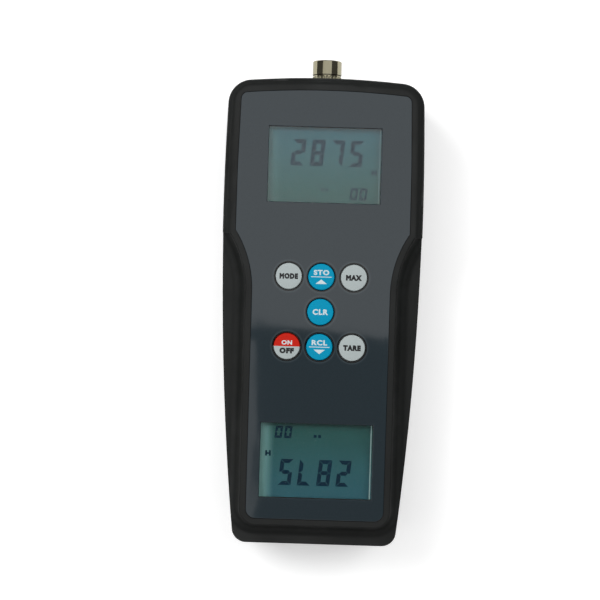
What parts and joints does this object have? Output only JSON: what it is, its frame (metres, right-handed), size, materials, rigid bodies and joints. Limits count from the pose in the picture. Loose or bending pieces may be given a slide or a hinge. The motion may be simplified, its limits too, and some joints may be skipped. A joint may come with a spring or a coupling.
{
  "type": "force gauge",
  "caption": "Handheld digital force gauge with a waisted case, two display windows, press keys, a round load-cell socket and a sliding battery door.",
  "frame": {"origin": "middle of the flat back face that the gauge lies on", "axes": "+X to the right as the user reads it, +Y along the case to the load-cell socket, +Z out of the front face"},
  "size_m": [0.081, 0.1974, 0.0384],
  "materials": {
    "case": "fine-textured black ABS",
    "film": "printed grey polycarbonate film",
    "lens": "clear acrylic",
    "display": "reflective liquid crystal display, grey green",
    "diffuser": "milky light guide",
    "elastomer": "layered conductive silicone",
    "holder": "moulded holder",
    "board": "green solder mask",
    "chip": "moulded epoxy",
    "steel": "zinc-plated steel",
    "switch": "moulded nylon",
    "plunger": "moulded nylon",
    "plated": "nickel-plated brass",
    "insulator": "black thermoset",
    "gilt": "gold-plated contact",
    "wire": "insulated lead",
    "cell": "plain shrink sleeve",
    "key_white": "white moulded key",
    "key_blue": "blue moulded key",
    "key_red": "red and white moulded key"
  },
  "bodies": {
    "housing": {"front_cover": "case", "rear_cover": "case", "front_overlay": "film", "upper_lens": "lens", "lower_lens": "lens", "upper_display_glass": "display", "lower_display_glass": "display", "upper_backlight": "diffuser", "lower_backlight": "diffuser", "upper_contact_strips": "elastomer", "lower_contact_strips": "elastomer", "upper_display_frame": "holder", "lower_display_frame": "holder", "main_board": "board", "board_chips": "chip", "board_screws": "steel", "case_screws": "steel", "switch_bodies": "switch", "socket_shell": "plated", "socket_insulator": "insulator", "socket_contacts": "gilt", "socket_washer": "plated", "socket_nut": "plated", "sensor_wires": "wire", "batteries": "cell", "battery_plates": "plated", "battery_springs": "plated"},
    "door": {"battery_door": "case"},
    "key_unit": {"key_cap_unit": "key_white", "key_plunger_unit": "plunger"},
    "key_save": {"key_cap_save": "key_blue", "key_plunger_save": "plunger"},
    "key_peak": {"key_cap_peak": "key_white", "key_plunger_peak": "plunger"},
    "key_delete": {"key_cap_delete": "key_blue", "key_plunger_delete": "plunger"},
    "key_power": {"key_cap_power": "key_red", "key_plunger_power": "plunger"},
    "key_read": {"key_cap_read": "key_blue", "key_plunger_read": "plunger"},
    "key_tare": {"key_cap_tare": "key_white", "key_plunger_tare": "plunger"}
  },
  "joints": [
    {"name": "battery_door_slide", "type": "slide", "parent": "housing", "child": "door", "axis": [0, -1, 0], "range_m": [0, 0.07]},
    {"name": "key_unit_press", "type": "slide", "parent": "housing", "child": "key_unit", "axis": [0, 0, -1], "range_m": [0, 0.0005], "stiffness_N_per_m": 1500},
    {"name": "key_save_press", "type": "slide", "parent": "housing", "child": "key_save", "axis": [0, 0, -1], "range_m": [0, 0.0005], "stiffness_N_per_m": 1500},
    {"name": "key_peak_press", "type": "slide", "parent": "housing", "child": "key_peak", "axis": [0, 0, -1], "range_m": [0, 0.0005], "stiffness_N_per_m": 1500},
    {"name": "key_delete_press", "type": "slide", "parent": "housing", "child": "key_delete", "axis": [0, 0, -1], "range_m": [0, 0.0005], "stiffness_N_per_m": 1500},
    {"name": "key_power_press", "type": "slide", "parent": "housing", "child": "key_power", "axis": [0, 0, -1], "range_m": [0, 0.0005], "stiffness_N_per_m": 1500},
    {"name": "key_read_press", "type": "slide", "parent": "housing", "child": "key_read", "axis": [0, 0, -1], "range_m": [0, 0.0005], "stiffness_N_per_m": 1500},
    {"name": "key_tare_press", "type": "slide", "parent": "housing", "child": "key_tare", "axis": [0, 0, -1], "range_m": [0, 0.0005], "stiffness_N_per_m": 1500}
  ]
}
